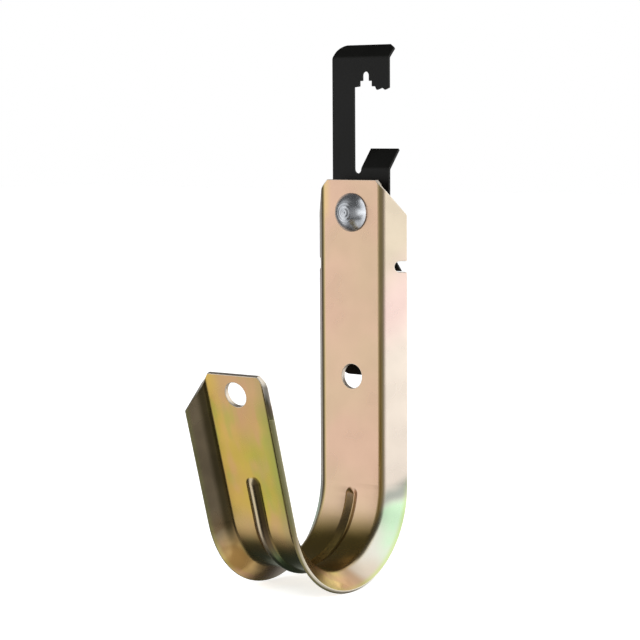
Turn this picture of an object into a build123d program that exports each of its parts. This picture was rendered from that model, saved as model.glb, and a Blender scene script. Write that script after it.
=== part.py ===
import os
from math import cos, radians, sin, sqrt, tan

from build123d import *

# Two-inch J hook with a riveted spring clip for a ceiling drop wire, in millimetres.
# X runs along the cables, -Y is the open front with the short arm, Z is up.
# The origin is the middle of the loop, on the hook's plane of symmetry.

# Hook sheet: a flat web faces the cables and both edges are folded away from them
sheet = 1.4
web_flat = 18.8
fold_inner_r = 1.8
fold_angle = 47.5
flange_width = 6.15

# Path of the web's cable face: long strap, round loop, short arm leaning outwards
loop_r = 20.7
strap_top = 88.3
arm_lean = 16.0
arm_length = 44.4

# Slanted ends of the strap and of the arm, which start just inside the web
end_cut = 10.0
end_cut_in_web = 0.6
end_corner_r = 0.8

# Holes at one height through the strap and the arm, placed from the arm's end
hole_d = 7.1
hole_from_arm_end = 5.75

# Notches in the strap's flanges, open at the free edges
notch_below_top = 26.4
notch_height = 3.1
notch_land = 2.45
notch_corner_r = 0.4

# Stiffening bead pressed outwards along the loop, a V with a round floor
bead_depth = 1.15
bead_flank_angle = 32.0
bead_floor_r = 0.7
bead_start_angle = 9.5
bead_arm_reach = 12.0
bead_lip_r = 0.8
bead_foot_r = 1.2

# Spring clip plate, set between the flanges
clip_sheet = 0.8
clip_inset = 1.15
clip_overhang = 0.8
clip_fold_inner_r = 0.8

# Spine and jaw: the tab stands below the jaw, the relief parts it from the spine
tab_above_strap = 2.6
tab_angle = 40.0
tab_length = 7.0
relief_width = 2.5
relief_depth = 0.85
spine_width = 7.9
jaw_opening = 24.2
jaw_height = 7.8
jaw_root_drop = 0.2

# Stepped slot for the wire, measured from the spine and from the jaw's lower edge
slot_from_spine = 4.15
slot_width = 2.3
slot_height = 4.3
step_width = 4.4
step_height = 1.6

# Two saw teeth under the end of the jaw
tooth_from_end = 1.5
tooth_pitch = 2.9
tooth_back = 0.9
tooth_front = 0.6
tooth_depth = 0.6
tooth_root_drop = 0.45

# Lip folded back along the top of the jaw
lip_angle = 45.0
lip_length = 4.6
lip_corner_r = 3.4
lip_nip_width = 1.9
lip_nip_height = 1.35

# Ears that sit on the notch floors and the tail below them
ear_clearance = 0.2
ear_height = 6.0
ear_inset = 0.65
ear_root_r = 1.0
tail_step = 2.0
tail_length = 30.9
tail_corner_r = 4.2

# Collar rivet: the collar keeps the clip off the web and both ends are formed over
rivet_below_top = 9.4
rivet_d = 5.0
rivet_clearance = 0.3
rivet_head_d = 11.2
rivet_head_rim = 0.4
rivet_head_height = 3.6
rivet_collar_d = 8.4
rivet_back_d = 8.4
rivet_back_height = 1.2
rivet_back_edge_r = 0.5

# Values that follow
fold = radians(fold_angle)
fold_outer_r = fold_inner_r + sheet
fold_length = fold * (fold_inner_r + sheet / 2)
loop_angle = 180.0 - arm_lean
web_half = web_flat / 2
flange_root = Vector(web_half + fold_outer_r * sin(fold), fold_outer_r * (1 - cos(fold)))
flange_along = Vector(cos(fold), sin(fold))
flange_out = Vector(sin(fold), -cos(fold))
free_edge_out = flange_root + flange_along * flange_width
free_edge_in = free_edge_out - flange_out * sheet
lean = radians(arm_lean)
arm_hole_along = arm_length - hole_from_arm_end
hole_z = arm_hole_along * cos(lean) - (loop_r + sheet / 2) * sin(lean)
bead_flank = radians(bead_flank_angle)
rivet_z = strap_top - rivet_below_top
notch_floor_z = strap_top - notch_below_top
clip_half = web_half + clip_overhang
clip_back = free_edge_in.Y - clip_inset
clip_front = clip_back - clip_sheet
rivet_hole_d = rivet_d + 2 * rivet_clearance
loop_axis = Axis((0, 0, 0), (-1, 0, 0))


def both_sides(shape):
    """The shape together with its mirror image across the hook's plane of symmetry."""
    return [shape, mirror(shape, Plane.YZ)]


def swing(shape):
    """Carry a shape drawn straight below the loop's start round to the arm."""
    return shape.rotate(loop_axis, loop_angle)


def web_hole(d, z):
    """Drill square through the web, as long as several sheets."""
    return Pos(0, loop_r, z) * Rot(90, 0, 0) * Cylinder(d / 2, 20 * sheet)


def channel_section():
    """Section of the sheet at the start of the loop, with the cable face at the loop radius."""
    bend_out = Vector(sin(fold / 2), -cos(fold / 2)) * fold_outer_r
    bend_in = Vector(sin(fold / 2), -cos(fold / 2)) * fold_inner_r
    bend_centre = Vector(web_half, fold_outer_r)
    root_in = flange_root - flange_out * sheet
    half = [
        Line((0, 0), (web_half, 0)),
        ThreePointArc((web_half, 0), bend_centre + bend_out, flange_root),
        Polyline(flange_root, free_edge_out, free_edge_in, root_in),
        ThreePointArc(root_in, bend_centre + bend_in, (web_half, sheet)),
        Line((web_half, sheet), (0, sheet)),
    ]
    outline = Curve() + half + [mirror(edge, Plane.YZ) for edge in half]
    return Pos(0, loop_r, 0) * make_face(outline)


def cut_flanges(shape, waste, corner_r):
    """Cut the right flange's waste from both flanges and round the corners left at the free edges."""
    tools = both_sides(waste)
    cut = shape - tools
    free_edge_x = (free_edge_out.X + free_edge_in.X) / 2
    corners = [
        edge
        for edge in new_edges(shape, *tools, combined=cut)
        if abs(edge.length - sheet) < 0.001 and abs(abs(edge.center().X) - free_edge_x) < 0.001
    ]
    return fillet(corners, corner_r)


def through_flange(outline):
    """Waste with an outline drawn on the right flange, outwards from its root, square through the sheet."""
    plane = Plane(
        origin=(flange_root.X, loop_r + flange_root.Y, 0),
        x_dir=(flange_along.X, flange_along.Y, 0),
        z_dir=(flange_out.X, flange_out.Y, 0),
    )
    return extrude(plane * outline, 2 * sheet, both=True)


def end_waste():
    """Waste above an end at height 0 that slants down from the web, round the fold and along the flange."""
    slope = end_cut / (end_cut_in_web + fold_length + flange_width)
    fold_start = end_cut_in_web * slope
    fold_end = fold_start + fold_length * slope
    over = 2 * sheet
    reach = flange_width + over
    far = 3 * fold_outer_r

    web_outline = Polyline(
        (web_half, -fold_start),
        (web_half, over),
        (web_half - (over + fold_start) / slope, over),
        close=True,
    )
    waste = Pos(0, loop_r, 0) * extrude(Plane.XZ * make_face(web_outline), over, both=True)
    flange_outline = Polyline(
        (0, -fold_end),
        (reach, -fold_end - reach * slope),
        (reach, over),
        (0, over),
        close=True,
    )
    waste += through_flange(make_face(flange_outline))

    bend_centre = Pos(web_half, loop_r + fold_outer_r)
    sector = make_face(Polyline((0, 0), (0, -far), (far, 0), close=True))
    waste += bend_centre * Pos(0, 0, -fold_start) * extrude(sector, fold_start + over)
    winding = Solid.extrude_linear_with_rotation(
        section=(Rot(0, 0, fold_angle) * sector).face(),
        center=(0, 0, 0),
        normal=(0, 0, fold_end - fold_start),
        angle=-fold_angle,
    )
    waste += bend_centre * Pos(0, 0, -fold_end) * winding
    return waste


def notch_waste():
    """Waste of a round-ended slot at height 0 that runs out through the flange's free edge."""
    r = notch_height / 2
    reach = 2 * flange_width
    slot = Circle(r) + Pos(reach / 2, 0) * Rectangle(reach, notch_height)
    return through_flange(Pos(notch_land + r, 0) * slot)


def bead_section(offset):
    """V with a round floor at the start of the loop, as deep as the bead and wider by offset all round."""
    half = (bead_floor_r + offset + (bead_depth - bead_floor_r) * cos(bead_flank)) / sin(bead_flank)
    slope = tan(bead_flank)
    above = 2 * sheet
    outline = Polyline(
        (half + above / slope, -above),
        (-half - above / slope, -above),
        (0, half * slope),
        close=True,
    )
    section = make_face(outline)
    tip = section.vertices().sort_by(Axis.Y)[-1]
    return Pos(0, loop_r, 0) * fillet(tip, bead_floor_r + offset)


def bead_bar(offset):
    """Bar of the bead's section with turned ends that follows the loop and runs up the arm."""
    section = bead_section(offset)
    half = section - Pos(-4 * loop_r, 0, 0) * Rectangle(8 * loop_r, 8 * loop_r)
    end = revolve(half, Axis.Y)
    bar = revolve(section.rotate(loop_axis, bead_start_angle), loop_axis, loop_angle - bead_start_angle)
    bar += end.rotate(loop_axis, bead_start_angle)
    bar += swing(extrude(section, -bead_arm_reach))
    bar += swing(Pos(0, 0, -bead_arm_reach) * end)
    return bar


def press_bead(hook):
    """Push the web outwards along the loop: a rounded rib outside, a groove of the same depth inside."""
    inner_half = Pos(0, (loop_r + sheet / 2) / 2, 0) * Rectangle(web_flat, loop_r + sheet / 2)
    inside = revolve(inner_half, loop_axis, loop_angle)
    inside += extrude(inner_half, bead_arm_reach)
    inside += swing(extrude(inner_half, -2 * bead_arm_reach))
    rib = bead_bar(sheet) - inside
    ribbed = hook + rib
    ribbed = fillet(new_edges(hook, rib, combined=ribbed), bead_foot_r)
    groove = bead_bar(0)
    pressed = ribbed - groove
    return fillet(new_edges(ribbed, groove, combined=pressed), bead_lip_r)


def make_hook():
    section = channel_section()
    strap = extrude(section, strap_top)
    strap = cut_flanges(strap, Pos(0, 0, strap_top) * end_waste(), end_corner_r)
    strap = cut_flanges(strap, Pos(0, 0, notch_floor_z + notch_height / 2) * notch_waste(), notch_corner_r)
    strap -= [web_hole(hole_d, hole_z), web_hole(rivet_hole_d, rivet_z)]

    arm = extrude(section, -arm_length)
    arm = cut_flanges(arm, Pos(0, 0, -arm_length) * mirror(end_waste(), Plane.XY), end_corner_r)
    arm -= web_hole(hole_d, -arm_hole_along)

    hook = strap + revolve(section, loop_axis, loop_angle) + swing(arm)
    return press_bead(hook)


def fold_axis(z):
    """Axis about which the clip's sheet is folded backwards at height z."""
    return Axis((0, loop_r + clip_back + clip_fold_inner_r, z), (-1, 0, 0))


def fold_back(z, low_x, high_x, angle, length):
    """Strip of the clip's sheet folded backwards from a line at height z."""
    middle_y = loop_r + (clip_front + clip_back) / 2
    strip = Pos((low_x + high_x) / 2, middle_y, z) * Rectangle(high_x - low_x, clip_sheet)
    axis = fold_axis(z)
    return revolve(strip, axis, angle) + extrude(strip, length).rotate(axis, angle)


def make_clip():
    tab_z = strap_top + tab_above_strap
    jaw_z = tab_z + jaw_opening
    lip_z = jaw_z + jaw_height
    tooth_root_z = jaw_z - tooth_root_drop
    tooth_tip_z = tooth_root_z - tooth_depth
    tooth_x = clip_half - tooth_from_end
    spine_x = spine_width - clip_half
    relief_r = relief_width / 2
    relief_x = spine_x + relief_r
    relief_z = tab_z - relief_depth + relief_r
    tab_x = relief_x + sqrt(relief_r**2 - (relief_z - tab_z) ** 2)
    slot_x = spine_x + slot_from_spine
    slot_r = slot_width / 2
    slot_shoulder_z = jaw_z + slot_height - slot_r
    tail_half = clip_half - tail_step
    ear_z = notch_floor_z + ear_clearance
    tail_z = ear_z - tail_length
    flange_x = flange_root.X + (clip_front - flange_root.Y) / tan(fold)
    ear_x = flange_x - ear_inset

    slot_right = (slot_x + slot_r, slot_shoulder_z)
    slot_left = (slot_x - slot_r, slot_shoulder_z)
    relief_left = (spine_x, relief_z)
    relief_right = (tab_x, tab_z)
    jaw = Polyline(
        (clip_half, lip_z),
        (clip_half, tooth_root_z),
        (tooth_x, tooth_tip_z),
        (tooth_x - tooth_back, tooth_root_z),
        (tooth_x - tooth_pitch, tooth_tip_z),
        (tooth_x - tooth_pitch - tooth_front, jaw_z),
        (slot_x + step_width / 2, jaw_z),
        (slot_x + step_width / 2, jaw_z + step_height),
        (slot_x + slot_r, jaw_z + step_height),
        slot_right,
    )
    slot_end = ThreePointArc(slot_right, (slot_x, slot_shoulder_z + slot_r), slot_left)
    spine = Polyline(
        slot_left,
        (slot_x - slot_r, jaw_z + step_height),
        (slot_x - step_width / 2, jaw_z + step_height),
        (slot_x - step_width / 2, jaw_z),
        (spine_x, jaw_z - jaw_root_drop),
        relief_left,
    )
    relief = ThreePointArc(relief_left, (relief_x, tab_z - relief_depth), relief_right)
    below = Polyline(
        relief_right,
        (clip_half, tab_z),
        (clip_half, ear_z + ear_height),
        (ear_x, ear_z),
        (tail_half, ear_z),
        (tail_half, tail_z),
        (-tail_half, tail_z),
        (-tail_half, ear_z),
        (-ear_x, ear_z),
        (-clip_half, ear_z + ear_height),
        (-clip_half, lip_z),
        (clip_half, lip_z),
    )
    plate = make_face(Curve() + [jaw, slot_end, spine, relief, below])
    for x in (tail_half, -tail_half):
        plate = fillet(plate.vertices().sort_by_distance((x, tail_z))[0], tail_corner_r)
        plate = fillet(plate.vertices().sort_by_distance((x, ear_z))[0], ear_root_r)

    front = Plane(origin=(0, loop_r + clip_front, 0), x_dir=(1, 0, 0), z_dir=(0, -1, 0))
    clip = extrude(front * plate, -clip_sheet)
    clip += fold_back(lip_z, -clip_half, clip_half, lip_angle, lip_length)
    clip += fold_back(tab_z, tab_x, clip_half, tab_angle, tab_length)

    corner = Pos(-clip_half, lip_length) * Rectangle(2 * lip_corner_r, 2 * lip_corner_r)
    corner -= Pos(lip_corner_r - clip_half, lip_length - lip_corner_r) * Circle(lip_corner_r)
    nip = make_face(
        Polyline(
            (clip_half - lip_nip_width, lip_length),
            (clip_half, lip_length),
            (clip_half, lip_length - lip_nip_height),
            close=True,
        )
    )
    axis = fold_axis(lip_z)
    for waste in (corner, nip):
        cut = extrude(front * Pos(0, lip_z) * waste, clip_sheet, both=True)
        clip -= cut.rotate(axis, lip_angle)
    return clip - web_hole(rivet_hole_d, rivet_z)


def make_rivet():
    """Turned about an axis square to the web, with depths measured from the web's cable face."""
    r = rivet_head_d / 2
    shank_r = rivet_d / 2
    collar_r = rivet_collar_d / 2
    dome = rivet_head_height - rivet_head_rim
    dome_r = (r**2 + dome**2) / (2 * dome)
    dome_middle = dome_r - sqrt(dome_r**2 - (r / 2) ** 2) - rivet_head_height
    end = clip_back + rivet_back_height
    crown = ThreePointArc((0, -rivet_head_height), (r / 2, dome_middle), (r, -rivet_head_rim))
    sides = Polyline(
        (r, -rivet_head_rim),
        (r, 0),
        (shank_r, 0),
        (shank_r, sheet),
        (collar_r, sheet),
        (collar_r, clip_front),
        (shank_r, clip_front),
        (shank_r, clip_back),
        (rivet_back_d / 2, clip_back),
        (rivet_back_d / 2, end),
        (0, end),
        (0, -rivet_head_height),
    )
    half = make_face(Curve() + [crown, sides])
    half = fillet(half.vertices().sort_by_distance((rivet_back_d / 2, end))[0], rivet_back_edge_r)
    return Pos(0, loop_r, rivet_z) * revolve(half, Axis.Y)


os.makedirs("parts", exist_ok=True)
export_step(make_hook(), "parts/hook_body.step")
export_step(make_clip(), "parts/drop_wire_clip.step")
export_step(make_rivet(), "parts/rivet.step")
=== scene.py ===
from math import asin, atan2, cos, hypot, pi, radians, sin
from types import SimpleNamespace

import bpy
from mathutils import Matrix, Vector


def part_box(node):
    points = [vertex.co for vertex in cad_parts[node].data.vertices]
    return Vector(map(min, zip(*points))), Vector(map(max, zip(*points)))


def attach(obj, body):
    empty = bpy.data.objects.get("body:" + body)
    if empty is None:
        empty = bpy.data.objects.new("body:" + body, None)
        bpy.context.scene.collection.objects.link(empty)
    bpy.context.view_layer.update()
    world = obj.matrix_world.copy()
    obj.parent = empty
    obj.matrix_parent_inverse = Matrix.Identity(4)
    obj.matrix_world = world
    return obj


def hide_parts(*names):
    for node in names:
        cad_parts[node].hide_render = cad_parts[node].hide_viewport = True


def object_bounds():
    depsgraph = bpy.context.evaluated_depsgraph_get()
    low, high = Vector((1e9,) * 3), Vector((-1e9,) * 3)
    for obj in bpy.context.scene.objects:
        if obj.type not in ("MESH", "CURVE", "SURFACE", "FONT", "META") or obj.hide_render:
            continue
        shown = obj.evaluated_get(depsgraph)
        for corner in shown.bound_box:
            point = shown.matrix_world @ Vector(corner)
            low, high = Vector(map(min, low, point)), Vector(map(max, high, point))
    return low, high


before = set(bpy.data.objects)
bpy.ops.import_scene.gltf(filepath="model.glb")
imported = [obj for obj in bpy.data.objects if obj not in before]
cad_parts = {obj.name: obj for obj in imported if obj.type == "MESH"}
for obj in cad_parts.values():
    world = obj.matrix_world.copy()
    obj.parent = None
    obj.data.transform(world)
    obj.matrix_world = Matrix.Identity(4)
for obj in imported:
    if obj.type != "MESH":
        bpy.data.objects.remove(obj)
cad_low, cad_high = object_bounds()

MM = 0.001

# Sizes of the hook's folded sheet, the clip's sheet and the rivet's place, in metres, in the
# frame of the part
WEB_HALF = 9.4 * MM
LOOP_R = 20.7 * MM
STRAP_TOP = 88.3 * MM
LOOP_ANGLE = radians(164)
FOLD_ANGLE = radians(47.5)
FOLD_MIDDLE_R = 2.5 * MM
FOLD_OUTER_R = 3.2 * MM
SHEET = 1.4 * MM
CLIP_SHEET = 0.8 * MM
RIVET_Z = 78.9 * MM

# The region round the pressed bead, whose walls aren't cut edges
BEAD_HALF = 6 * MM
BEAD_TOP = 14 * MM

# Rounding of the cut edges
HOOK_EDGE_R = 0.2 * MM
CLIP_EDGE_R = 0.16 * MM
SHARP_EDGE = radians(38)

# Merging a node's loose triangles
MERGE_WITHIN = 0.001 * MM
FLAT_WITHIN = radians(0.05)


# ---------------------------------------------------------------- working with pieces

def pick(piece):
    """Leave this piece alone selected and active."""
    bpy.ops.object.select_all(action="DESELECT")
    piece.select_set(True)
    bpy.context.view_layer.objects.active = piece


def apply_modifier(piece, modifier):
    pick(piece)
    bpy.ops.object.modifier_apply(modifier=modifier.name)


def copy_of_node(node_name, piece_name):
    """A piece with a merged copy of a node's mesh, flat faces made whole again."""
    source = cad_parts[node_name]
    piece = source.copy()
    piece.data = source.data.copy()
    piece.name = piece_name
    piece.data.name = piece_name
    for key in list(piece.keys()):
        del piece[key]
    piece.parent = None
    bpy.context.scene.collection.objects.link(piece)
    pick(piece)
    bpy.ops.object.mode_set(mode="EDIT")
    bpy.ops.mesh.select_all(action="SELECT")
    bpy.ops.mesh.customdata_custom_splitnormals_clear()
    bpy.ops.mesh.remove_doubles(threshold=MERGE_WITHIN)
    bpy.ops.mesh.select_all(action="SELECT")
    bpy.ops.mesh.dissolve_limited(angle_limit=FLAT_WITHIN)
    bpy.ops.object.mode_set(mode="OBJECT")
    return piece


def round_edges(piece, radius, skip=None):
    """Round the cut edges of a sheet and give the new narrow faces the second material."""
    mesh = piece.data
    faces_at = {}
    for face in mesh.polygons:
        for key in face.edge_keys:
            faces_at.setdefault(key, []).append(face)
    weight = mesh.attributes.new("bevel_weight_edge", "FLOAT", "EDGE")
    for edge in mesh.edges:
        faces = faces_at.get(edge.key, [])
        if len(faces) != 2 or faces[0].normal.angle(faces[1].normal, 0.0) < SHARP_EDGE:
            continue
        if faces[0].material_index == 1 and faces[1].material_index == 1:
            continue
        start, end = (mesh.vertices[index].co for index in edge.vertices)
        if skip and skip((start + end) / 2):
            continue
        weight.data[edge.index].value = 1.0
    rounding = piece.modifiers.new("edge_round", "BEVEL")
    rounding.limit_method = "WEIGHT"
    rounding.width = radius
    rounding.segments = 3
    rounding.use_clamp_overlap = False
    rounding.loop_slide = True
    rounding.material = 1
    rounding.harden_normals = True
    apply_modifier(piece, rounding)


# ---------------------------------------------------------------- building materials

def add(tree, kind, sockets=None, **settings):
    """Add a shader node, set its settings, and set or link its sockets."""
    made = tree.nodes.new("ShaderNode" + kind)
    for name, value in settings.items():
        setattr(made, name, value)
    for socket, value in (sockets or {}).items():
        if isinstance(value, bpy.types.NodeSocket):
            tree.links.new(value, made.inputs[socket])
        else:
            made.inputs[socket].default_value = value
    return made


def new_material(name):
    material = bpy.data.materials.new(name)
    material.use_nodes = True
    tree = material.node_tree
    tree.nodes.clear()
    return material, tree


def finish_material(tree, shader):
    output = tree.nodes.new("ShaderNodeOutputMaterial")
    tree.links.new(shader, output.inputs["Surface"])


def srgb(r, g, b):
    """Linear colour of an 8-bit sRGB colour."""
    return tuple(
        (c / 12.92 if c <= 0.04045 else ((c + 0.055) / 1.055) ** 2.4)
        for c in (r / 255, g / 255, b / 255)
    ) + (1.0,)


def ramp(tree, factor, stops):
    """Colour that eases from stop to stop as the factor rises."""
    made = add(tree, "ValToRGB", {"Fac": factor})
    colours = made.color_ramp
    colours.interpolation = "EASE"
    while len(colours.elements) > 1:
        colours.elements.remove(colours.elements[-1])
    colours.elements[0].position = stops[0][0]
    colours.elements[0].color = stops[0][1]
    for place, colour in stops[1:]:
        colours.elements.new(place).color = colour
    return made.outputs["Color"]


def spread(tree, value, low, high, to_low=0.0, to_high=1.0, smooth=True):
    """Value that goes from to_low to to_high as another goes from low to high."""
    made = add(
        tree, "MapRange",
        {"Value": value, "From Min": low, "From Max": high, "To Min": to_low, "To Max": to_high},
        interpolation_type="SMOOTHSTEP" if smooth else "LINEAR",
    )
    return made.outputs["Result"]


def sums(tree, operation, a, b):
    return add(tree, "Math", {0: a, 1: b}, operation=operation).outputs["Value"]


def times(tree, first, *others):
    """Product of all the values."""
    for other in others:
        first = sums(tree, "MULTIPLY", first, other)
    return first


def vector_sums(tree, operation, sockets, output="Vector"):
    return add(tree, "VectorMath", sockets, operation=operation).outputs[output]


def noise(tree, vector, scale, detail, output="Fac"):
    made = add(tree, "TexNoise", {"Vector": vector, "Scale": scale, "Detail": detail})
    return made.outputs[output]


def mix(tree, share, first, second):
    """Colour that goes from the first to the second as share goes from 0 to 1."""
    made = add(tree, "Mix", {"Factor": share, 6: first, 7: second}, data_type="RGBA")
    return made.outputs[2]


def tint(tree, under, colour, *shares):
    """A colour laid over the one under it, by the product of the shares."""
    return mix(tree, times(tree, *shares), under, colour)


# ---------------------------------------------------------------- the hook as a flat sheet

# The flat sheet's map: its name and unit, and, in that unit, the sheet's middle, the middle of a
# flange as a distance from it, and the start of the arm
SHEET_MAP = "flat_sheet"
SHEET_UNIT = 100 * MM
SHEET_MIDDLE = 0.5
FLANGE_MIDDLE = 0.15
ARM_START = 1.4755

# A face is a cut one if its normal and the sheet's have a cosine below this
CUT_FACE_COSINE = 0.5


def along_the_bend(point):
    """Distance along the J from the strap's top, distance out from the loop's axis, the way out."""
    _, y, z = point
    turn = atan2(-z, y)
    if z >= 0 and y > 0:
        return STRAP_TOP - z, y, Vector((0, 1, 0))
    if 0 <= turn <= LOOP_ANGLE:
        return STRAP_TOP + LOOP_R * turn, hypot(y, z), Vector((0, cos(turn), -sin(turn)))
    out = Vector((0, cos(LOOP_ANGLE), -sin(LOOP_ANGLE)))
    up = Vector((0, -sin(LOOP_ANGLE), -cos(LOOP_ANGLE)))
    return STRAP_TOP + LOOP_R * LOOP_ANGLE + point.dot(up), point.dot(out), out


def sheet_place(point):
    """Where a point lies on the flat sheet: across from its middle and along from its top."""
    along, radius, _ = along_the_bend(point)
    across = abs(point.x)
    if across > WEB_HALF:
        across = WEB_HALF + hypot(across - WEB_HALF, radius - LOOP_R)
    return (across if point.x >= 0 else -across), along


def sheet_depth(point):
    """How deep a point of the hook lies behind the face that the cables touch, square to it."""
    _, radius, _ = along_the_bend(point)
    sideways = abs(point.x) - WEB_HALF
    behind = radius - LOOP_R
    if sideways <= 0:
        return behind
    inward = FOLD_OUTER_R - behind
    if atan2(sideways, inward) < FOLD_ANGLE:
        return FOLD_OUTER_R - hypot(sideways, inward)
    return FOLD_OUTER_R - sideways * sin(FOLD_ANGLE) - inward * cos(FOLD_ANGLE)


def in_the_bead(point):
    return abs(point.x) < BEAD_HALF and point.z < BEAD_TOP


def is_cut_face(face):
    """Whether a face stands square to the sheet, as walls of holes and free edges do."""
    if in_the_bead(face.center):
        return False
    _, _, out = along_the_bend(face.center)
    past_web = max(abs(face.center.x) - WEB_HALF, 0.0)
    tilt = asin(min(past_web / FOLD_MIDDLE_R, sin(FOLD_ANGLE)))
    sheet_normal = -cos(tilt) * out
    sheet_normal.x = sin(tilt) if face.center.x > 0 else -sin(tilt)
    return abs(face.normal.dot(sheet_normal)) < CUT_FACE_COSINE


def lay_out_sheet(piece):
    """A UV map with the hook's flat sheet, and the depth of each point in it, in millimetres."""
    mesh = piece.data
    layer = mesh.uv_layers.new(name=SHEET_MAP)
    places = [sheet_place(vertex.co) for vertex in mesh.vertices]
    for corner in mesh.loops:
        across, along = places[corner.vertex_index]
        layer.data[corner.index].uv = (across / SHEET_UNIT + SHEET_MIDDLE, along / SHEET_UNIT)
    depth = mesh.attributes.new("depth", "FLOAT", "POINT")
    for vertex in mesh.vertices:
        depth.data[vertex.index].value = sheet_depth(vertex.co) / MM


# ---------------------------------------------------------------- the hook's zinc

# Colours that the passivated film takes on the strap and the loop
TAN = srgb(217, 188, 158)
ROSY_TAN = srgb(223, 187, 162)
GILT = srgb(232, 200, 142)
DEEP_GOLD = srgb(194, 166, 96)
LOOP_GOLD = srgb(200, 173, 98)
# Painted shade down the bead's groove
GROOVE_PAINTED_SHADE = srgb(150, 132, 80)
SAGE = srgb(112, 142, 100)

# On the arm and its rib
STRAW = srgb(204, 171, 86)
HONEY = srgb(203, 164, 104)
ROSY_HONEY = srgb(198, 157, 112)
DULL_HONEY = srgb(198, 163, 104)
OLIVE = srgb(194, 168, 80)
BRASS = srgb(196, 162, 86)
GREEN_BRASS = srgb(180, 168, 76)
GREEN_GOLD = srgb(166, 168, 78)
PINK_TAN = srgb(203, 154, 120)
MOSS = srgb(150, 156, 82)
ROSY_BRONZE = srgb(194, 158, 124)
DUSKY_TAN = srgb(186, 154, 120)
# Painted highlight and painted shade for the rib's two flanks
RIB_PAINTED_HIGHLIGHT = srgb(206, 192, 168)
RIB_PAINTED_SHADE = srgb(108, 92, 76)

# On the flanges
WARM_CREAM = srgb(210, 196, 174)
ROSE = srgb(230, 204, 195)
CREAM = srgb(229, 216, 202)
LILAC_GREY = srgb(160, 163, 153)
PINK_CREAM = srgb(213, 210, 198)
PALE_TAN = srgb(204, 190, 172)
COPPER_TAN = srgb(190, 160, 128)
GOLD = srgb(244, 204, 138)
OLD_GOLD = srgb(188, 152, 90)
BRONZE = srgb(152, 136, 110)
MINT = srgb(198, 228, 193)
UMBER = srgb(134, 98, 50)
BLUSH = srgb(214, 160, 132)
LIME = srgb(192, 212, 112)

# Along the folds and on the cut edges
# Painted shade, by the folds and on the loop's -X flange
FOLD_PAINTED_SHADE = srgb(84, 74, 47)
FOLD_OLIVE = srgb(204, 184, 118)
BARE_ZINC = srgb(247, 240, 228)
# Painted shade on the back half of the flanges' cut edges
EDGE_PAINTED_SHADE = srgb(98, 102, 80)


def film_values(tree):
    """What the film's colour follows: places on the flat sheet, in its units, and noises.

    side is 0.5 at the sheet's middle and grows towards +X, across is the distance from the
    middle, and along the distance from the strap's top. The loose ones wander a little,
    on_flange is the distance from a flange's middle, and run is half of loose_along, slanted
    over the flange.
    """
    place = add(tree, "UVMap", uv_map=SHEET_MAP).outputs["UV"]
    point = add(tree, "TexCoord").outputs["Object"]
    split = add(tree, "SeparateXYZ", {"Vector": place})
    side, along = split.outputs["X"], split.outputs["Y"]
    offset = sums(tree, "SUBTRACT", side, SHEET_MIDDLE)
    across = add(tree, "Math", {0: offset}, operation="ABSOLUTE").outputs["Value"]

    drift = noise(tree, point, 70.0, 1.0, "Color")
    centred = vector_sums(tree, "SUBTRACT", {0: drift, 1: (0.5, 0.5, 0.5)})
    shift = vector_sums(tree, "SCALE", {0: centred, "Scale": 0.08})
    moved = vector_sums(tree, "ADD", {0: place, 1: shift})
    loose = add(tree, "SeparateXYZ", {"Vector": moved})
    on_flange = sums(tree, "SUBTRACT", across, FLANGE_MIDDLE)
    slanted = sums(tree, "ADD", loose.outputs["Y"], times(tree, on_flange, 0.6))

    stretched = add(tree, "Mapping", {"Vector": place, "Scale": (17.0, 7.0, 1.0)}).outputs["Vector"]
    stains = add(tree, "SeparateXYZ", {"Vector": noise(tree, stretched, 1.0, 2.0, "Color")})
    return SimpleNamespace(
        point=point, side=side, along=along, across=across, on_flange=on_flange,
        loose_side=loose.outputs["X"], loose_along=loose.outputs["Y"],
        run=sums(tree, "DIVIDE", slanted, 2.0),
        cloud=noise(tree, point, 42.0, 2.0),
        patches=noise(tree, point, 120.0, 2.0),
        grain=noise(tree, point, 2600.0, 2.0),
        green_stain=stains.outputs["X"],
        pink_stain=stains.outputs["Y"],
        blush_stain=stains.outputs["Z"],
    )


def strap_film(tree, at):
    """Rosy tan, gilt at the top of the -X edge."""
    film = ramp(tree, at.cloud, [(0.35, TAN), (0.65, ROSY_TAN)])
    return tint(
        tree, film, GILT,
        spread(tree, at.side, 0.43, 0.405), spread(tree, at.loose_along, 0.15, 0.07), 0.7,
    )


def arm_film(tree, at):
    """Straw, honey and olive across the arm, stained green and pink, rosier at both ends."""
    film = ramp(tree, spread(tree, at.loose_side, 0.39, 0.61, smooth=False), [
        (0.10, STRAW),
        (0.34, HONEY),
        (0.56, ROSY_HONEY),
        (0.80, DULL_HONEY),
        (1.00, OLIVE),
    ])
    lower = ramp(tree, at.cloud, [(0.36, BRASS), (0.50, OLIVE), (0.62, GREEN_BRASS)])
    film = tint(tree, film, lower, spread(tree, at.loose_along, 1.80, 1.66))
    film = tint(tree, film, GREEN_GOLD, spread(tree, at.green_stain, 0.50, 0.70), 0.6)
    film = tint(tree, film, PINK_TAN, spread(tree, at.pink_stain, 0.50, 0.70), 0.4)
    film = tint(tree, film, MOSS, spread(tree, at.side, 0.560, 0.596), 0.7)
    film = tint(
        tree, film, ROSY_BRONZE,
        spread(tree, at.loose_along, 1.78, 1.90), spread(tree, at.side, 0.41, 0.46, 0.1, 0.6),
    )
    return tint(tree, film, DUSKY_TAN, spread(tree, at.loose_along, 1.55, 1.46), 0.55)


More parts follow.
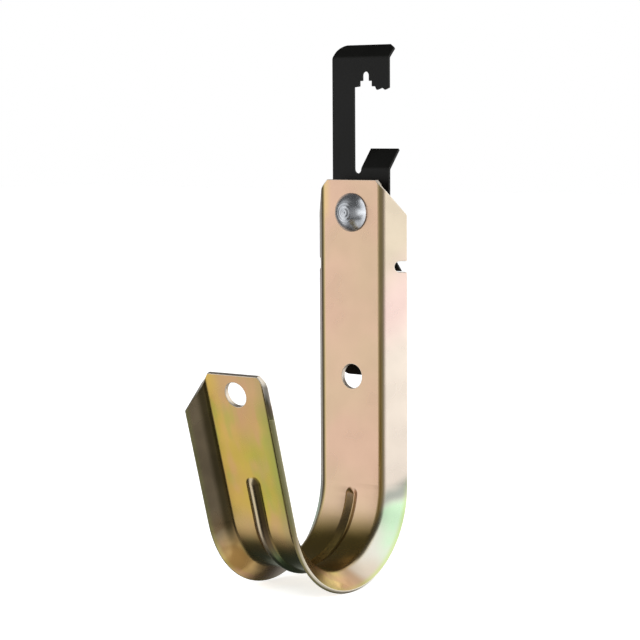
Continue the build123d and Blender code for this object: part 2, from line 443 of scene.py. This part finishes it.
def raised_rib(tree, at):
    """1 where the rib stands out behind the sheet, from the loop's end up the arm, where the rib
    takes its painted highlight and painted shade.
    """
    arm_out = (0.0, cos(LOOP_ANGLE), -sin(LOOP_ANGLE))
    on_the_arm = vector_sums(tree, "DOT_PRODUCT", {0: at.point, 1: arm_out}, "Value")
    flattened = vector_sums(tree, "MULTIPLY", {0: at.point, 1: (0.0, 1.0, 1.0)})
    on_the_loop = vector_sums(tree, "LENGTH", {0: flattened}, "Value")
    straight = sums(tree, "GREATER_THAN", at.along, ARM_START)
    outward = add(tree, "Mix", {"Factor": straight, 2: on_the_loop, 3: on_the_arm}).outputs[0]
    return times(
        tree, spread(tree, outward, LOOP_R + 1.5 * MM, LOOP_R + 1.8 * MM),
        spread(tree, at.along, 1.18, 1.34), spread(tree, at.across, 0.045, 0.035),
    )


def web_film(tree, at):
    """Strap, loop and arm in turn, with painted shade in the bead's groove, a painted highlight and
    painted shade on the rib's flanks, and the arm's green heel.
    """
    loop = ramp(tree, at.cloud, [(0.35, DEEP_GOLD), (0.65, LOOP_GOLD)])
    film = tint(tree, strap_film(tree, at), loop, spread(tree, at.along, 0.94, 1.06))
    # Painted shade: darker olive down the bead's groove
    film = tint(
        tree, film, GROOVE_PAINTED_SHADE,
        spread(tree, at.across, 0.020, 0.013), spread(tree, at.along, 0.90, 0.94),
        spread(tree, at.along, 1.32, 1.20), 0.5,
    )
    film = tint(tree, film, arm_film(tree, at), spread(tree, at.along, 1.34, 1.46))
    # Painted highlight on the rib's -X flank and crest, painted shade on its +X flank
    rib = mix(tree, spread(tree, at.side, 0.502, 0.510), RIB_PAINTED_HIGHLIGHT, RIB_PAINTED_SHADE)
    film = tint(tree, film, rib, raised_rib(tree, at), 0.75)
    return tint(
        tree, film, SAGE,
        spread(tree, at.loose_along, 1.20, 1.29), spread(tree, at.loose_along, 1.43, 1.36), 0.75,
    )


def flange_film(tree, at):
    """Creams down the strap, mint where the loop starts, golds round it, bronze up the arm, with
    painted shade next to the arm's folds and on the -X flange round the loop's bottom.
    """
    film = ramp(tree, at.run, [
        (0.090, WARM_CREAM),
        (0.180, ROSE),
        (0.260, CREAM),
        (0.430, CREAM),
        (0.452, LILAC_GREY),
        (0.474, PINK_CREAM),
        (0.530, PINK_CREAM),
        (0.568, PALE_TAN),
        (0.590, COPPER_TAN),
        (0.626, GOLD),
        (0.676, OLD_GOLD),
        (0.740, BRONZE),
    ])
    wedge = sums(tree, "SUBTRACT", at.run, at.on_flange)
    film = tint(
        tree, film, MINT,
        spread(tree, at.run, 0.456, 0.474), spread(tree, wedge, 0.555, 0.495),
        spread(tree, at.patches, 0.36, 0.56, 0.5),
    )
    foot = times(tree, spread(tree, at.run, 0.57, 0.64), spread(tree, at.run, 0.78, 0.70))
    film = tint(tree, film, UMBER, spread(tree, at.patches, 0.46, 0.62), foot, 0.65)
    film = tint(tree, film, BLUSH, spread(tree, at.blush_stain, 0.50, 0.66), foot, 0.6)
    film = tint(
        tree, film, LIME,
        spread(tree, at.run, 0.43, 0.49), spread(tree, at.run, 0.62, 0.56, 0.35),
        spread(tree, at.across, 0.162, 0.180), 0.65,
    )
    # Painted shade on the arm's flanges next to their folds
    film = tint(
        tree, film, FOLD_PAINTED_SHADE,
        spread(tree, at.across, 0.148, 0.128), spread(tree, at.along, 1.36, 1.48), 0.9,
    )
    # Painted shade on the -X flange round the bottom of the loop
    return tint(
        tree, film, FOLD_PAINTED_SHADE,
        spread(tree, at.side, 0.41, 0.39), spread(tree, at.loose_along, 1.29, 1.20),
        spread(tree, at.along, 1.05, 1.15), 0.75,
    )


def fold_line(tree, at):
    """1 along the strap's folds, fading out where the loop starts."""
    return times(
        tree, spread(tree, at.across, 0.092, 0.100), spread(tree, at.across, 0.116, 0.106),
        spread(tree, at.along, 1.08, 0.92),
    )


def sheet_film(tree, at, fold):
    """Web and flanges, with the olive lines of the folds between them, and painted shade along the
    strap's -X fold.
    """
    past_fold = spread(tree, at.across, 0.098, 0.122)
    film = tint(tree, web_film(tree, at), flange_film(tree, at), past_fold)
    film = tint(tree, film, FOLD_OLIVE, fold, 0.7)
    # Painted shade: darker olive along the strap's -X fold
    return tint(
        tree, film, FOLD_PAINTED_SHADE,
        spread(tree, at.side, 0.404, 0.397), spread(tree, at.side, 0.382, 0.388),
        spread(tree, at.along, 1.00, 0.90), 0.7,
    )


def cut_edge_film(tree, at, film):
    """Nearly unfilmed zinc over the film, with painted shade on the back half of the flanges' edges
    from the loop up, thin on the arm's flanges.
    """
    depth = add(tree, "Attribute", attribute_name="depth").outputs["Fac"]
    # Painted shade on the back half of the flanges' cut edges, from the loop up
    bare_zinc_and_painted_shade = tint(
        tree, BARE_ZINC, EDGE_PAINTED_SHADE,
        spread(tree, at.along, 1.10, 1.22), spread(tree, at.across, 0.12, 0.15),
        spread(tree, depth, 0.4, 0.9),
    )
    kept = times(tree, spread(tree, at.across, 0.14, 0.16), spread(tree, at.along, 1.36, 1.5), 0.6)
    return mix(tree, sums(tree, "SUBTRACT", 0.75, kept), film, bare_zinc_and_painted_shade)


def yellow_zinc(name, edge):
    """Zinc with a yellow passivated film, whose colour drifts over the sheet."""
    material, tree = new_material(name)
    at = film_values(tree)
    fold = fold_line(tree, at)
    colour = sheet_film(tree, at, fold)
    rough = spread(tree, at.patches, 0.3, 0.7, 0.22, 0.29, smooth=False)
    rough = sums(tree, "ADD", rough, times(tree, fold, 0.05))
    if edge:
        colour = cut_edge_film(tree, at, colour)
        rough = sums(tree, "ADD", rough, 0.2)
    bump = add(tree, "Bump", {"Strength": 0.04, "Distance": 0.01 * MM, "Height": at.grain})
    shader = add(tree, "BsdfPrincipled", {
        "Base Color": colour, "Metallic": 1.0, "Roughness": rough,
        "Normal": bump.outputs["Normal"],
    })
    finish_material(tree, shader.outputs["BSDF"])
    return material


hook = copy_of_node("hook_body", "hook")
hook.data.materials.clear()
hook.data.materials.append(yellow_zinc("yellow_zinc", edge=False))
hook.data.materials.append(yellow_zinc("yellow_zinc_cut_edge", edge=True))
for face in hook.data.polygons:
    face.material_index = 1 if is_cut_face(face) else 0
round_edges(hook, HOOK_EDGE_R, skip=in_the_bead)
lay_out_sheet(hook)
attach(hook, "root")
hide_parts("hook_body")


# ---------------------------------------------------------------- the clip

# Darkest and palest black, on the faces and, paler as a painted highlight, on the rounded edges
FACE_BLACKS = srgb(6, 6, 5), srgb(11, 11, 9)
EDGE_PAINTED_HIGHLIGHT_BLACKS = srgb(17, 17, 15), srgb(26, 26, 23)


def satin_black(name, blacks):
    """Black oiled spring steel, a little uneven."""
    material, tree = new_material(name)
    point = add(tree, "TexCoord").outputs["Object"]
    cloud = noise(tree, point, 55.0, 3.0)
    grain = noise(tree, point, 3200.0, 3.0)
    colour = ramp(tree, cloud, [(0.3, blacks[0]), (0.7, blacks[1])])
    rough = spread(tree, cloud, 0.3, 0.7, 0.42, 0.52, smooth=False)
    bump = add(tree, "Bump", {"Strength": 0.12, "Distance": 0.03 * MM, "Height": grain})
    shader = add(tree, "BsdfPrincipled", {
        "Base Color": colour, "Metallic": 0.0, "Roughness": rough,
        "Normal": bump.outputs["Normal"], "Specular IOR Level": 0.26,
    })
    finish_material(tree, shader.outputs["BSDF"])
    return material


clip = copy_of_node("drop_wire_clip", "wire_clip")
clip.data.materials.clear()
clip.data.materials.append(satin_black("satin_black", FACE_BLACKS))
# Paler black on the rounded edges: painted highlight
clip.data.materials.append(satin_black("satin_black_edge", EDGE_PAINTED_HIGHLIGHT_BLACKS))
round_edges(clip, CLIP_EDGE_R)
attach(clip, "root")
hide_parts("drop_wire_clip")


# ---------------------------------------------------------------- the rivet

HEAD_R = 5.6 * MM
HEAD_RIM = 0.4 * MM
HEAD_HEIGHT = 3.6 * MM
SHANK_R = 2.5 * MM
COLLAR_R = 4.2 * MM
BACK_HEIGHT = 1.2 * MM
BACK_EDGE_R = 0.5 * MM
RIM_EDGE_R = 0.12 * MM

# Turned rings on the dome: pitch, depth at the middle, and the radius at which they fade out
RING_PITCH = 0.95 * MM
RING_DEPTH = 0.075 * MM
RINGS_TO = 3.3 * MM

RIVET_SEGMENTS = 96
DOME_STEPS = 84
RIVET_SMOOTH = radians(30)

RIVET_GREY = srgb(184, 188, 194)
RIVET_PALE = srgb(218, 221, 226)


def quarter(r, depth, radius, start, steps=4):
    """Points on a quarter round about a centre at radius r and this depth."""
    turns = [radians(start - 90 * step / steps) for step in range(steps + 1)]
    return [(r + radius * cos(turn), depth + radius * sin(turn)) for turn in turns]


def rivet_profile():
    """Radius and depth behind the web's cable face, from the back end to the top of the dome."""
    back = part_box("rivet")[1].y - LOOP_R
    clip_back = back - BACK_HEIGHT
    clip_front = clip_back - CLIP_SHEET
    dome = HEAD_HEIGHT - HEAD_RIM
    dome_r = (HEAD_R ** 2 + dome ** 2) / (2 * dome)
    points = quarter(COLLAR_R - BACK_EDGE_R, back - BACK_EDGE_R, BACK_EDGE_R, 90)
    points += [(COLLAR_R, clip_back), (SHANK_R, clip_back)]
    points += [(SHANK_R, clip_front), (COLLAR_R, clip_front)]
    points += [(COLLAR_R, SHEET), (SHANK_R, SHEET), (SHANK_R, 0.0)]
    points += quarter(HEAD_R - RIM_EDGE_R, -RIM_EDGE_R, RIM_EDGE_R, 90)
    for step in range(DOME_STEPS):
        r = HEAD_R * (1 - step / DOME_STEPS)
        depth = dome_r - HEAD_HEIGHT - (dome_r ** 2 - r ** 2) ** 0.5
        fade = max(0.0, 1 - r / RINGS_TO) ** 0.5
        points.append((r, depth + RING_DEPTH * fade * (1 - cos(2 * pi * r / RING_PITCH)) / 2))
    return points


def turned_piece(name, points):
    """A closed piece turned about the rivet's axis through the given radii and depths."""
    bpy.ops.object.select_all(action="DESELECT")
    r, depth = points[0]
    bpy.ops.mesh.primitive_circle_add(
        vertices=RIVET_SEGMENTS, radius=r, fill_type="NGON",
        location=(0, LOOP_R + depth, RIVET_Z), rotation=(pi / 2, 0, 0),
    )
    piece = bpy.context.object
    piece.name = name
    piece.data.name = name
    bpy.ops.object.transform_apply(location=True, rotation=True, scale=True)
    bpy.ops.object.mode_set(mode="EDIT")
    bpy.ops.mesh.select_all(action="SELECT")
    for next_r, next_depth in points[1:]:
        step = (0, next_depth - depth, 0)
        bpy.ops.mesh.extrude_region_move(TRANSFORM_OT_translate={"value": step})
        bpy.ops.transform.resize(
            value=(next_r / r, 1, next_r / r), center_override=(0, LOOP_R + next_depth, RIVET_Z),
        )
        r, depth = next_r, next_depth
    bpy.ops.mesh.select_all(action="SELECT")
    bpy.ops.mesh.normals_make_consistent(inside=False)
    bpy.ops.object.mode_set(mode="OBJECT")
    bpy.ops.object.shade_smooth_by_angle(angle=RIVET_SMOOTH)
    return piece


def rivet_steel(name):
    """Bright steel, faintly specked."""
    material, tree = new_material(name)
    point = add(tree, "TexCoord").outputs["Object"]
    speck = noise(tree, point, 1500.0, 2.0)
    cloud = noise(tree, point, 400.0, 2.0)
    colour = ramp(tree, cloud, [(0.3, RIVET_GREY), (0.7, RIVET_PALE)])
    rough = spread(tree, speck, 0.3, 0.7, 0.22, 0.32, smooth=False)
    bump = add(tree, "Bump", {"Strength": 0.08, "Distance": 0.02 * MM, "Height": speck})
    shader = add(tree, "BsdfPrincipled", {
        "Base Color": colour, "Metallic": 0.94, "Roughness": rough,
        "Normal": bump.outputs["Normal"],
    })
    finish_material(tree, shader.outputs["BSDF"])
    return material


rivet = turned_piece("collar_rivet", rivet_profile())
rivet.data.materials.append(rivet_steel("rivet_steel"))
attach(rivet, "root")
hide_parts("rivet")


# ---------------------------------------------------------------- studio

WHITE = (1, 1, 1, 1)

# Light on all sides of the room, and soft panels round it. Each is given by its bearing from the
# front towards +X and its height above the horizon, in degrees, and then its strength:
# bearing rise, bearing fall, height rise, height fall, strength
ROOM_GLOW = 0.06
PANELS = (
    ((-92, -58), (-32, -20), (-60, -36), (16, 62), 1.1),
    ((-30, -15), (42, 62), (-35, -15), (15, 35), 0.25),
    ((16, 56), (120, 170), (-18, -8), (8, 26), 1.45),
    ((50, 66), (130, 175), (0, 14), (58, 74), 1.3),
    ((52, 62), (100, 150), (-70, -60), (-12, -4), 0.2),
    ((56, 70), (120, 165), (-75, -60), (-12, -4), 1.2),
    ((10, 35), (145, 172), (-95, -85), (-46, -34), 0.8),
    ((-70, -45), (10, 35), (-95, -90), (-62, -46), 0.35),
    ((186, 200), (257, 262), (-45, -25), (14, 28), 0.42),
)
# The part of the white background that the metal shows
BACKDROP = (130, 160), (190, 206), (-46, -28), (58, 76)

# The bearings run from the first of these to the second
BEARING_LOW, BEARING_HIGH = -100.0, 260.0
DEGREES = 180 / pi

FLOOR_SIZE = 6.0
FLOOR_GAP = 0.1 * MM
FLOOR_COLOUR = (0.9, 0.9, 0.9, 1)
FLOOR_GLOW = 0.7

LAMPS_AIM = Vector((0, 0, 0.04))

# Camera fitted to the photograph: its lens and sensor in millimetres, its place and its axes
LENS = 123.77
SENSOR = 36.0
CAMERA_PLACE = Vector((383.0, -487.4, 104.5)) * MM
CAMERA_RIGHT = Vector((0.7901, 0.6130, -0.0052))
CAMERA_UP = Vector((-0.0504, 0.0734, 0.9960))
CAMERA_BACK = Vector((0.6109, -0.7866, 0.0889))


def band(tree, value, rise, fall):
    """1 between a soft rise and a soft fall, and 0 outside them."""
    return times(tree, spread(tree, value, *rise), spread(tree, value, *fall, 1.0, 0.0))


def panel(tree, bearing, height, spans):
    """1 on a panel with soft sides, and 0 outside it."""
    bearing_rise, bearing_fall, height_rise, height_fall = spans
    return times(
        tree, band(tree, bearing, bearing_rise, bearing_fall),
        band(tree, height, height_rise, height_fall),
    )


def seen_straight(tree, path):
    """1 to the camera and through glass."""
    camera, through = path.outputs["Is Camera Ray"], path.outputs["Is Transmission Ray"]
    return sums(tree, "MAXIMUM", camera, through)


def background(tree, strength):
    return add(tree, "Background", {"Color": WHITE, "Strength": strength}).outputs["Background"]


def studio_world():
    """White to the camera and, within the backdrop, to the metal.

    Elsewhere the metal shows a dim room with soft panels.
    """
    world = bpy.data.worlds.new("studio")
    bpy.context.scene.world = world
    world.use_nodes = True
    tree = world.node_tree
    tree.nodes.clear()
    look = add(tree, "SeparateXYZ", {"Vector": add(tree, "TexCoord").outputs["Generated"]})
    front = times(tree, look.outputs["Y"], -1.0)
    bearing = times(tree, sums(tree, "ARCTAN2", look.outputs["X"], front), DEGREES)
    bearing = add(
        tree, "Math", {0: bearing, 1: BEARING_HIGH, 2: BEARING_LOW}, operation="WRAP",
    ).outputs["Value"]
    height = add(tree, "Math", {0: look.outputs["Z"]}, operation="ARCSINE").outputs["Value"]
    height = times(tree, height, DEGREES)

    glow = ROOM_GLOW
    for *spans, strength in PANELS:
        lit = times(tree, panel(tree, bearing, height, spans), strength)
        glow = sums(tree, "MAXIMUM", lit, glow)
    path = add(tree, "LightPath")
    mirrored = times(tree, path.outputs["Is Glossy Ray"], panel(tree, bearing, height, BACKDROP))
    seen = sums(tree, "MAXIMUM", seen_straight(tree, path), mirrored)
    room, white = background(tree, glow), background(tree, 1.0)
    mixed = add(tree, "MixShader", {0: seen, 1: room, 2: white}).outputs["Shader"]
    output = tree.nodes.new("ShaderNodeOutputWorld")
    tree.links.new(mixed, output.inputs["Surface"])


def studio_floor():
    """A pale floor that takes the part's shadow. The metal doesn't mirror it."""
    bpy.ops.object.select_all(action="DESELECT")
    bpy.ops.mesh.primitive_plane_add(size=FLOOR_SIZE, location=(0, 0, cad_low.z - FLOOR_GAP))
    floor = bpy.context.object
    floor.name = "floor"
    material, tree = new_material("pale_floor")
    path = add(tree, "LightPath")
    seen = seen_straight(tree, path)
    matt = add(tree, "BsdfDiffuse", {"Color": FLOOR_COLOUR}).outputs["BSDF"]
    white = add(tree, "Emission", {"Color": WHITE, "Strength": times(tree, seen, FLOOR_GLOW)})
    both = add(tree, "AddShader", {0: matt, 1: white.outputs["Emission"]}).outputs["Shader"]
    finish_material(tree, both)
    floor.data.materials.append(material)
    floor.visible_glossy = False


def lamp(name, place, size, power):
    """A round soft lamp aimed at the part. The metal mirrors the panels in its place."""
    light = bpy.data.lights.new(name, "AREA")
    light.shape = "DISK"
    light.size = size
    light.energy = power
    holder = bpy.data.objects.new(name, light)
    bpy.context.scene.collection.objects.link(holder)
    holder.location = place
    aim = LAMPS_AIM - Vector(place)
    holder.rotation_euler = aim.to_track_quat("-Z", "Y").to_euler()
    holder.visible_glossy = False


def studio_camera():
    camera_data = bpy.data.cameras.new("camera")
    camera_data.sensor_width = SENSOR
    camera_data.lens = LENS
    camera = bpy.data.objects.new("camera", camera_data)
    bpy.context.scene.collection.objects.link(camera)
    axes = Matrix((CAMERA_RIGHT, CAMERA_UP, CAMERA_BACK)).transposed()
    camera.matrix_world = Matrix.Translation(CAMERA_PLACE) @ axes.to_4x4()
    bpy.context.scene.camera = camera


studio_world()
studio_floor()
lamp("key", place=(0.75, -0.55, 0.75), size=0.8, power=9.0)
lamp("fill", place=(-0.8, -0.8, 0.5), size=1.0, power=5.0)
studio_camera()

bpy.context.scene.view_settings.view_transform = "Standard"
